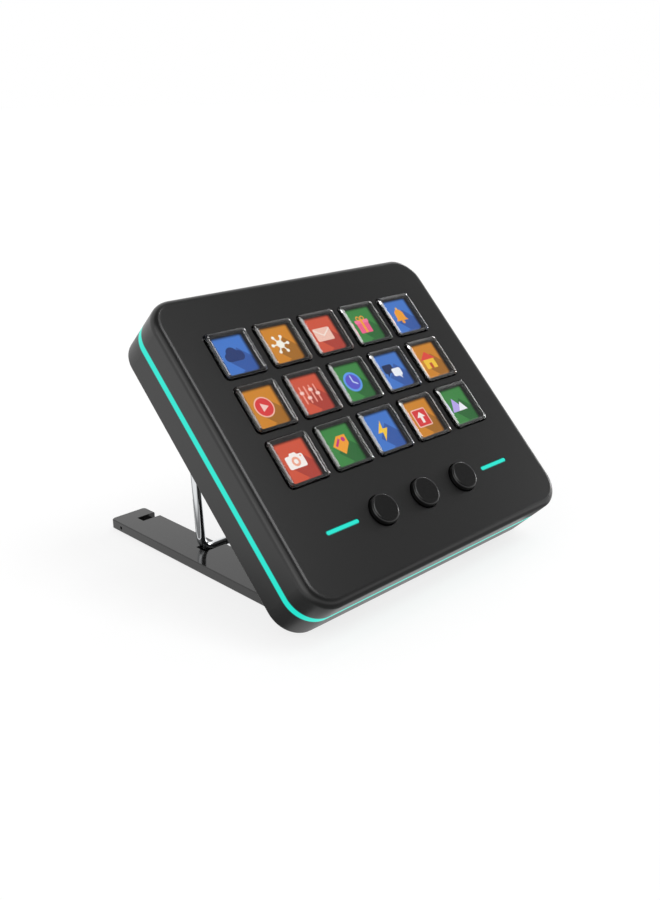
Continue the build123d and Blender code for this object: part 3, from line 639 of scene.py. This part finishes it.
# Flat shapes of the pictures, in millimetres from the middle of a key. Each is a list of polygons.
def disc(x, y, radius, steps=28):
    return [circle_loop(radius, steps, (x, y))]


def hoop(x, y, radius, width, steps):
    outside = arc(x, y, radius, 0, 360, steps)
    inside = arc(x, y, radius - width, 0, 360, steps)
    return [[inside[i], outside[i], outside[i + 1], inside[i + 1]] for i in range(steps)]


def box(x, y, width, height, radius):
    return [rounded_loop(width, height, radius, 4, (x, y))]


def bar(start, end, width):
    """A straight stroke with square ends."""
    first, last = Vector(start), Vector(end)
    run = last - first
    aside = Vector((-run.y, run.x)).normalized() * (width / 2)
    return [[tuple(first - aside), tuple(last - aside), tuple(last + aside), tuple(first + aside)]]


def stroke(points, width):
    """A line of straight strokes with round joints."""
    shapes = []
    for start, end in zip(points, points[1:]):
        shapes += bar(start, end, width)
    for x, y in points:
        shapes += disc(x, y, width / 2, 16)
    return shapes


def long_shadow(reach):
    """The shade that a picture's shape throws to the lower right corner."""
    edge = PICTURE_HALF
    corner = [(edge - 2 * reach, -edge), (edge, -edge), (edge, 2 * reach - edge)]
    return [[(-reach, -reach), *corner, (reach, reach)]]


BLUE, ORANGE, RED, GREEN = "4277ca", "cf8526", "cf543b", "3a8541"
SHADE = {BLUE: "3359a4", ORANGE: "a3691f", RED: "ad3f33", GREEN: "296833"}


def snowflake():
    arms = [(cos(radians(a)) * 3.6, sin(radians(a)) * 3.6) for a in (0, 60, 120, 180, 240, 300)]
    shapes = disc(0, 0, 1.5)
    for x, y in arms:
        shapes += bar((0, 0), (x * 0.8, y * 0.8), 0.5) + disc(x * 0.86, y * 0.86, 0.62, 16)
    return [("f7f3e6", shapes)]


def cloud():
    puffs = disc(-2.0, -0.6, 1.6) + disc(-0.3, 0.7, 2.2) + disc(2.1, -0.4, 1.8)
    return [("22376e", puffs + box(0.1, -1.3, 5.6, 1.8, 0.8))]


def envelope():
    flap = stroke([(-3.4, 1.9), (0, -0.5), (3.4, 1.9)], 0.45)
    return [("f2c4b4", box(0, 0, 7.4, 5.0, 0.5)), ("f8e6dc", flap)]


def gift():
    bow = hoop(-1.0, 2.7, 0.95, 0.4, 16) + hoop(1.0, 2.7, 0.95, 0.4, 16)
    return [
        ("ee5f8c", box(0, -0.9, 5.6, 4.6, 0.3)),
        ("f3799f", box(0, 1.4, 6.4, 1.4, 0.3)),
        ("f4a13c", box(0, -0.4, 1.1, 5.4, 0.1) + bow),
    ]


def bell():
    body = [(-3.0, -1.8), (3.0, -1.8), (2.2, -0.8)] + arc(0, 0.8, 2.1, 0, 180, 20) + [(-2.2, -0.8)]
    return [("f0a030", [body] + disc(0, -2.4, 0.7)), ("f8c25a", disc(0, 3.2, 0.5))]


def record_mark():
    return [
        ("f0b8a8", disc(0, 0, 3.6, 40)),
        ("d93a3c", disc(0, 0, 3.15, 40)),
        ("f4c8c0", [[(-1.0, -1.5), (1.7, 0.0), (-1.0, 1.5)]]),
    ]


def mixer():
    rails, knobs = [], []
    for x, y in ((-3.0, 0.9), (-1.0, -1.2), (1.0, 1.5), (3.0, -0.3)):
        rails += box(x, 0, 0.6, 6.4, 0.25)
        knobs += box(x, y, 1.6, 1.1, 0.25)
    return [("ec9c8c", rails), ("f6ccc2", knobs)]


def dial():
    hands = stroke([(0, 2.2), (0, 0), (1.5, -1.0)], 0.45)
    return [("5f9be8", disc(0, 0, 3.7, 40)), ("5a56c8", disc(0, 0, 2.9, 40)), ("cfe0fa", hands)]


def two_bubbles():
    left = box(-1.4, 0.9, 4.6, 3.4, 0.7) + [[(-2.6, -0.5), (-1.4, -0.6), (-3.0, -2.2)]]
    right = box(1.8, -0.9, 4.2, 3.1, 0.7) + [[(1.6, -2.2), (2.8, -2.2), (3.0, -3.6)]]
    return [("1c2b52", left), ("eef2fa", right)]


def house():
    roof = [[(-3.9, 0.4), (3.9, 0.4), (0, 3.6)]]
    door = box(0, -2.2, 1.4, 2.2, 0.1)
    return [("f4c63a", box(0, -1.4, 5.4, 3.8, 0.2)), ("e0483c", roof), ("c4502c", door)]


def camera_mark():
    top = [[(-1.8, 1.5), (1.8, 1.5), (1.1, 2.7), (-1.1, 2.7)]]
    return [
        ("f8f0ec", box(0, -0.3, 7.0, 4.4, 0.7) + top),
        ("f0a890", disc(0, -0.3, 1.6)),
        ("f8f0ec", disc(0, -0.3, 0.8)),
        ("f0a890", disc(2.5, 1.1, 0.35, 14)),
    ]


def label_mark():
    tag = [[(-3.3, 0.2), (0.1, -3.3), (3.4, 0.0), (3.4, 3.2), (-0.2, 3.2)]]
    line = bar((-1.9, -0.1), (0.3, 2.1), 0.8)
    return [("f2a034", tag), ("c2307c", disc(1.9, 1.7, 0.8)), ("c2307c", line)]


def bolt():
    shape = [(0.9, 3.7), (-2.5, -0.5), (-0.3, -0.5), (-1.0, -3.7), (2.5, 0.7), (0.3, 0.7)]
    return [("f6c93c", [shape])]


def upward():
    shaft = [(-0.6, -2.0), (0.6, -2.0), (0.6, 0.2), (-0.6, 0.2)]
    head = [(-1.9, 0.2), (1.9, 0.2), (0, 2.2)]
    return [
        ("f0c0b4", box(0, 0, 6.8, 6.8, 0.6)),
        ("d9383a", box(0, 0, 6.0, 6.0, 0.4)),
        ("f8ece6", [shaft, head]),
    ]


def ridge():
    far = [[(-3.8, -2.2), (-0.4, -2.2), (1.0, 0.0), (-1.2, 3.0)]]
    near = [[(-0.6, -2.2), (3.8, -2.2), (1.7, 1.2)]]
    return [("b9a8ec", far), ("f2f4fb", near)]


PICTURES = [
    [(BLUE, cloud), (ORANGE, snowflake), (RED, envelope), (GREEN, gift), (BLUE, bell)],
    [(ORANGE, record_mark), (RED, mixer), (GREEN, dial), (BLUE, two_bubbles), (ORANGE, house)],
    [(RED, camera_mark), (GREEN, label_mark), (BLUE, bolt), (ORANGE, upward), (GREEN, ridge)],
]


def picture_layers(ground, motif):
    """Colours and polygons of one picture from the ground upwards."""
    edge = PICTURE_HALF
    sheet = [[(-edge, -edge), (edge, -edge), (edge, edge), (-edge, edge)]]
    return [(ground, sheet), (SHADE[ground], long_shadow(SHADOW_REACH)), *motif()]


def picture_mesh(layers, centre):
    """A picture's layers, one just over the other: mesh, finishes, slots and flat places."""
    verts, faces, slots, spots, materials = [], [], [], [], []
    for depth, (colour, shapes) in enumerate(layers):
        material = display_pixels(colour)
        if material not in materials:
            materials.append(material)
        for number, shape in enumerate(shapes):
            sides = zip(shape, shape[1:] + shape[:1])
            area = sum(x0 * y1 - x1 * y0 for (x0, y0), (x1, y1) in sides)
            loop = shape if area > 0 else list(reversed(shape))
            faces.append(tuple(range(len(verts), len(verts) + len(loop))))
            slots.append(materials.index(material))
            height = PICTURE_HEIGHT + LAYER_STEP * depth + SHAPE_STEP * number
            for x, y in loop:
                verts.append(on_panel(centre[0] + x, centre[1] + PICTURE_UP + y, height))
            spots += loop
    return (verts, faces), materials, slots, spots


class ControllerSizes(bpy.types.PropertyGroup):
    """Sizes of the bent prop"""

    wire_diameter: FloatProperty(
        name="Wire diameter",
        description="Thickness of the bent prop",
        default=3.1 * MM,
        unit="LENGTH",
    )
    foot_bend: FloatProperty(
        name="Foot bend",
        description="Bend radius at the foot of the prop",
        default=5.0 * MM,
        unit="LENGTH",
    )


class ControllerColours(bpy.types.PropertyGroup):
    """Colours of the lit parts"""

    light: FloatVectorProperty(
        name="Light",
        description="Colour of the light band and the two light bars",
        subtype="COLOR",
        size=4,
        default=linear("1cecd6"),
    )


class OBJECT_OT_controller_shells(bpy.types.Operator):
    """Gives both shells their moulded finish"""

    bl_idname = "object.controller_shells"
    bl_label = "Shells"

    def execute(self, context):
        dress(["front_shell"], moulded_abs_front())
        dress(["rear_shell"], moulded_abs_rear())
        return {"FINISHED"}


class OBJECT_OT_controller_light_band(bpy.types.Operator):
    """Adds the light band between the shells"""

    bl_idname = "object.controller_light_band"
    bl_label = "Light band"

    def execute(self, context):
        colour = context.scene.controller_colours.light
        levels = [
            (BAND_BACK, 0.0),
            (BAND_BACK + BAND_RIM, 0.0),
            (BAND_FRONT - BAND_RIM, 0.0),
            (BAND_FRONT, 0.0),
            (BAND_FRONT, BAND_THICKNESS),
            (BAND_BACK, BAND_THICKNESS),
        ]
        rings = []
        for n, inset in levels:
            width, height = BODY_WIDTH - 2 * inset, BODY_HEIGHT - 2 * inset
            rings.append(at_height(rounded_loop(width, height, BODY_CORNER - inset, 24), n))
        per_ring = len(rings[0])
        geometry = skin(rings, closed=True)
        slots = [0 if per_ring <= i < 2 * per_ring else 1 for i in range(len(geometry[1]))]
        finishes = [light_guide(colour), light_guide_edge(colour)]
        name = "side_light_band_lit"
        band = make_piece(name, geometry, finishes, "housing", slots)
        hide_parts("side_light_band")
        return {"FINISHED"}


class OBJECT_OT_controller_light_bars(bpy.types.Operator):
    """Adds the two light bars beside the buttons"""

    bl_idname = "object.controller_light_bars"
    bl_label = "Light bars"

    def execute(self, context):
        colour = context.scene.controller_colours.light
        finishes = [light_guide_edge(colour), light_guide(colour)]
        for name, side in (("left", -1), ("right", 1)):
            centre = (side * BAR_OFFSET, BUTTONS_UP)
            rings = []
            for inset, n in ((0.0, BAR_FOOT), (0.0, -BAR_EDGE_DROP), (BAR_EDGE, 0.0)):
                length, width = BAR_LENGTH - 2 * inset, BAR_WIDTH - 2 * inset
                rings.append(at_height(slot_loop(length, width, 12, centre), n))
            geometry = skin(rings)
            slots = [0] * (len(geometry[1]) - 1) + [1]
            lit = f"light_bar_{name}_lit"
            bar_lit = make_piece(lit, geometry, finishes, "housing", slots)
            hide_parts(f"light_bar_{name}")
        return {"FINISHED"}


class OBJECT_OT_controller_keys(bpy.types.Operator):
    """Adds the fifteen clear key caps and the black film of painted shade inside each"""

    bl_idname = "object.controller_keys"
    bl_label = "Key caps"

    def execute(self, context):
        clear, black = clear_cap(), painted_shade_film()
        levels = cap_levels()
        for _, _, tag, centre in every_key():
            name, body = f"key_cap_{tag}_clear", f"key_{tag}"
            geometry = stacked(levels, 14, centre)
            cap = make_piece(name, geometry, [clear], body, smooth_below=9)
            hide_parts(f"key_cap_{tag}")
            # The black film is painted shade for the cap's walls and the picture's rim.
            make_piece(f"key_shade_film_{tag}", skin(film_rings(centre), closed=True), [black], body)
        return {"FINISHED"}


class OBJECT_OT_controller_pictures(bpy.types.Operator):
    """Adds the lit picture under each key cap"""

    bl_idname = "object.controller_pictures"
    bl_label = "Key pictures"

    def execute(self, context):
        for row, column, tag, centre in every_key():
            layers = picture_layers(*PICTURES[row][column])
            geometry, inks, slots, spots = picture_mesh(layers, centre)
            picture = make_piece(f"key_picture_{tag}", geometry, inks, f"key_{tag}", slots)
            self.lay_out(picture.data, spots)
        return {"FINISHED"}

    def lay_out(self, mesh, spots):
        """Lays the picture's coordinates from 0 at its lower left to 1 at its upper right."""
        layer = mesh.uv_layers.new(name="picture")
        for loop in mesh.loops:
            x, y = spots[loop.vertex_index]
            layer.uv[loop.index].vector = (0.5 + x / PICTURE_HALF / 2, 0.5 + y / PICTURE_HALF / 2)


class OBJECT_OT_controller_buttons(bpy.types.Operator):
    """Adds the three round buttons"""

    bl_idname = "object.controller_buttons"
    bl_label = "Buttons"

    def execute(self, context):
        finish = button_abs()
        side_top = BUTTON_TOP - BUTTON_EDGE
        rim = BUTTON_RADIUS - BUTTON_EDGE
        profile = [
            (BUTTON_FLANGE, BUTTON_FOOT),
            (BUTTON_FLANGE, BUTTON_FLANGE_TOP),
            (BUTTON_RADIUS, BUTTON_FLANGE_TOP),
            (BUTTON_RADIUS, side_top - BUTTON_SIDE_HOLD),
            (BUTTON_RADIUS, side_top),
            *arc(rim, side_top, BUTTON_EDGE, 9, 90, 9),
            (rim - BUTTON_FACE_HOLD, BUTTON_TOP),
        ]
        for index, name in enumerate(("left", "middle", "right")):
            geometry = turned(profile, ((index - 1) * KEY_PITCH, BUTTONS_UP))
            round_name, body = f"button_{name}_turned", f"{name}_button"
            button = make_piece(round_name, geometry, [finish], body)
            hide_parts(f"button_{name}")
        return {"FINISHED"}


class OBJECT_OT_controller_wire(bpy.types.Operator):
    """Adds the bent wire prop"""

    bl_idname = "object.controller_wire"
    bl_label = "Wire prop"

    def execute(self, context):
        sizes = context.scene.controller_sizes
        corners = [
            place(-WIRE_END, PIVOT_Y, PIVOT_Z),
            place(-WIRE_HALF_WIDTH, PIVOT_Y, PIVOT_Z),
            place(-WIRE_HALF_WIDTH, FOOT_Y, FOOT_Z),
            place(WIRE_HALF_WIDTH, FOOT_Y, FOOT_Z),
            place(WIRE_HALF_WIDTH, PIVOT_Y, PIVOT_Z),
            place(WIRE_END, PIVOT_Y, PIVOT_Z),
        ]
        top_bend = WIRE_TOP_BEND * MM
        path = bent_path(corners, [top_bend, sizes.foot_bend, sizes.foot_bend, top_bend])
        geometry = tube(path, sizes.wire_diameter / 2)
        finishes = [chromed_rod()]
        wire = make_piece("prop_wire_bent", geometry, finishes, "prop")
        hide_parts("prop_wire")
        return {"FINISHED"}


class OBJECT_OT_controller_stand(bpy.types.Operator):
    """Gives the stand plate, pads, pins and screws their finish"""

    bl_idname = "object.controller_stand"
    bl_label = "Stand and small parts"

    def execute(self, context):
        dress(["stand_plate"], polished_abs())
        dress(["plate_pads", "key_membrane"], rubber())
        dress(["prop_bearing_left", "prop_bearing_right"], bearing_acetal())
        dress(["hinge_pin_left", "hinge_pin_right", "usb_socket"], bright_steel())
        screws = ["housing_screws", "bearing_screws", "board_screws", "panel_screws"]
        dress(screws, blackened_steel())
        return {"FINISHED"}


class OBJECT_OT_controller_inside(bpy.types.Operator):
    """Gives the parts inside the housing their finish"""

    bl_idname = "object.controller_inside"
    bl_label = "Inner parts"

    def execute(self, context):
        boards = ["main_board", "button_board", "contact_board"]
        dress(boards, inner_part("Glass-epoxy board", "1f5a3a", 0.4))
        dress(["board_chips", "tact_switches"], inner_part("Moulded epoxy", "161616", 0.5))
        dress(["lcd_glass"], inner_part("Display glass", "0c0f12", 0.08))
        dress(["lcd_backlight"], inner_part("White polycarbonate diffuser", "e8e8e4", 0.5))
        dress(["lcd_tray"], inner_part("Zinc-plated sheet steel", "a8aaac", 0.35, 1.0))
        dress(["lcd_ribbon", "ring_light_strip"], inner_part("Polyimide film", "b8742a", 0.3))
        plungers = [f"switch_plunger_{name}" for name in ("left", "middle", "right")]
        dress(["ribbon_connector", *plungers], inner_part("Moulded nylon", "d9d4c6", 0.5))
        dress(["ring_lights", "bar_lights"], inner_part("Clear epoxy lamp", "f0eee6", 0.2))
        return {"FINISHED"}


class OBJECT_OT_controller_stage(bpy.types.Operator):
    """Adds the floor, the lamps, the sky and the camera"""

    bl_idname = "object.controller_stage"
    bl_label = "Studio"

    def execute(self, context):
        scene = context.scene
        self.add_floor(scene)
        self.add_sky(scene)
        for name, direction, spread, power in LAMPS:
            self.add_lamp(scene, name, direction, spread, power)
        camera = bpy.data.objects.new("camera", bpy.data.cameras.new("camera"))
        camera.data.lens = LENS
        camera.data.sensor_width = SENSOR_WIDTH
        camera.data.clip_start = CLIP_START
        camera.location = CAMERA_PLACE
        camera.rotation_euler = [radians(turn) for turn in CAMERA_TURN]
        scene.collection.objects.link(camera)
        scene.camera = camera
        scene.view_settings.view_transform = "Standard"
        return {"FINISHED"}

    def add_floor(self, scene):
        """White paper. It glows for the camera, and in mirrors too but for a dark ring of painted
        shade on it.
        """
        size = FLOOR_HALF
        corners = [(-size, -size, 0), (size, -size, 0), (size, size, 0), (-size, size, 0)]
        mesh = bpy.data.meshes.new("studio_floor")
        mesh.from_pydata(corners, [], [(0, 1, 2, 3)])
        floor = bpy.data.objects.new("studio_floor", mesh)
        scene.collection.objects.link(floor)
        material, tree = new_material("White paper sweep")
        path = add_node(tree, "ShaderNodeLightPath")
        paper = add_node(tree, "ShaderNodeBsdfDiffuse", {"Color": PAPER_WHITE})
        spot = add_node(tree, "ShaderNodeTexCoord")
        axes = add_node(tree, "ShaderNodeSeparateXYZ", {0: spot.outputs["Object"]})
        across = add_node(tree, "ShaderNodeMath", {0: axes.outputs["X"]}, operation="ABSOLUTE")
        aside = add_node(
            tree,
            "ShaderNodeMath",
            {0: across.outputs["Value"], 1: RING_SIDE * MM},
            operation="SUBTRACT",
        )
        rate, start = -RING_FRONT_RATE, -RING_FRONT_RATE * RING_FRONT * MM
        ahead = add_node(
            tree,
            "ShaderNodeMath",
            {0: axes.outputs["Y"], 1: rate, 2: start},
            operation="MULTIPLY_ADD",
        )
        outside = add_node(
            tree,
            "ShaderNodeMath",
            {0: aside.outputs["Value"], 1: ahead.outputs["Value"]},
            operation="MAXIMUM",
        )
        near, far = RING_SPAN
        reach = add_node(
            tree,
            "ShaderNodeMapRange",
            {"Value": outside.outputs["Value"], "From Min": near * MM, "From Max": far * MM},
        )
        # Painted shade: a dark ring that only mirrors see, so the part's lower edges mirror a dim
        # floor.
        ring = add_node(tree, "ShaderNodeValToRGB", {"Fac": reach.outputs["Result"]})
        ring.color_ramp.elements[0].position = RING_START
        ring.color_ramp.elements[0].color = (1, 1, 1, 1)
        for position in RING_DARKEST:
            ring.color_ramp.elements.new(position).color = RING_SHADE_GREY
        reflected = add_node(
            tree,
            "ShaderNodeMath",
            {0: seen_in_mirror(tree, path), 1: ring.outputs["Color"]},
            operation="MULTIPLY",
        )
        seen = add_node(
            tree,
            "ShaderNodeMath",
            {0: path.outputs["Is Camera Ray"], 1: reflected.outputs["Value"]},
            operation="MAXIMUM",
        )
        glow = add_node(
            tree,
            "ShaderNodeMath",
            {0: seen.outputs["Value"], 1: PAPER_GLOW},
            operation="MULTIPLY",
        )
        lift = add_node(tree, "ShaderNodeEmission", {"Strength": glow.outputs["Value"]})
        both = add_node(tree, "ShaderNodeAddShader", {0: paper.outputs[0], 1: lift.outputs[0]})
        add_node(tree, "ShaderNodeOutputMaterial", {"Surface": both.outputs[0]})
        mesh.materials.append(material)

    def add_sky(self, scene):
        """A white room that lights at half strength. Mirrors and glass see its ceiling grey."""
        world = bpy.data.worlds.new("Studio")
        scene.world = world
        world.use_nodes = True
        tree = world.node_tree
        tree.nodes.clear()
        path = add_node(tree, "ShaderNodeLightPath")
        direction = add_node(tree, "ShaderNodeTexCoord")
        axes = add_node(tree, "ShaderNodeSeparateXYZ", {0: direction.outputs["Generated"]})
        forward = add_node(
            tree,
            "ShaderNodeMath",
            {0: axes.outputs["Y"], 1: CEILING_TILT, 2: axes.outputs["Z"]},
            operation="MULTIPLY_ADD",
        )
        ceiling = add_node(
            tree,
            "ShaderNodeMapRange",
            {
                "Value": forward.outputs["Value"],
                "From Min": CEILING_FADE[0],
                "From Max": CEILING_FADE[1],
                "To Min": 1.0,
                "To Max": CEILING_GREY,
            },
            interpolation_type="SMOOTHSTEP",
        )
        lit = add_node(
            tree,
            "ShaderNodeMapRange",
            {
                "Value": seen_in_mirror(tree, path),
                "To Min": ROOM_LIGHT,
                "To Max": ceiling.outputs["Result"],
            },
        )
        strength = add_node(
            tree,
            "ShaderNodeMapRange",
            {
                "Value": path.outputs["Is Camera Ray"],
                "To Min": lit.outputs["Result"],
                "To Max": 1.0,
            },
        )
        room = {"Color": (1, 1, 1, 1), "Strength": strength.outputs["Result"]}
        sky = add_node(tree, "ShaderNodeBackground", room)
        add_node(tree, "ShaderNodeOutputWorld", {"Surface": sky.outputs[0]})

    def add_lamp(self, scene, name, direction, spread, power):
        """A wide far lamp, which lights the floor as evenly as the part."""
        data = bpy.data.lights.new(name, "SUN")
        data.angle = radians(spread)
        data.energy = power
        lamp = bpy.data.objects.new(name, data)
        lamp.location = Vector(direction)
        lamp.rotation_euler = Vector(direction).to_track_quat("Z", "Y").to_euler()
        scene.collection.objects.link(lamp)


class VIEW3D_PT_controller(bpy.types.Panel):
    """Lists the settings and the pieces of the controller"""

    bl_label = "Stream controller"
    bl_space_type = "VIEW_3D"
    bl_region_type = "UI"
    bl_category = "Controller"

    def draw(self, context):
        layout = self.layout
        layout.prop(context.scene.controller_sizes, "wire_diameter")
        layout.prop(context.scene.controller_sizes, "foot_bend")
        layout.prop(context.scene.controller_colours, "light")
        for operator in OPERATORS:
            layout.operator(operator.bl_idname)


OPERATORS = (
    OBJECT_OT_controller_shells,
    OBJECT_OT_controller_light_band,
    OBJECT_OT_controller_light_bars,
    OBJECT_OT_controller_keys,
    OBJECT_OT_controller_pictures,
    OBJECT_OT_controller_buttons,
    OBJECT_OT_controller_wire,
    OBJECT_OT_controller_stand,
    OBJECT_OT_controller_inside,
    OBJECT_OT_controller_stage,
)
CLASSES = (ControllerSizes, ControllerColours, *OPERATORS, VIEW3D_PT_controller)


def register():
    for cls in CLASSES:
        bpy.utils.register_class(cls)
    bpy.types.Scene.controller_sizes = PointerProperty(type=ControllerSizes)
    bpy.types.Scene.controller_colours = PointerProperty(type=ControllerColours)


def unregister():
    del bpy.types.Scene.controller_colours
    del bpy.types.Scene.controller_sizes
    for cls in reversed(CLASSES):
        bpy.utils.unregister_class(cls)


def main():
    """Builds the whole controller and its studio."""
    register()
    bpy.ops.object.controller_shells()
    bpy.ops.object.controller_light_band()
    bpy.ops.object.controller_light_bars()
    bpy.ops.object.controller_keys()
    bpy.ops.object.controller_pictures()
    bpy.ops.object.controller_buttons()
    bpy.ops.object.controller_wire()
    bpy.ops.object.controller_stand()
    bpy.ops.object.controller_inside()
    bpy.ops.object.controller_stage()


if __name__ == "__main__":
    main()
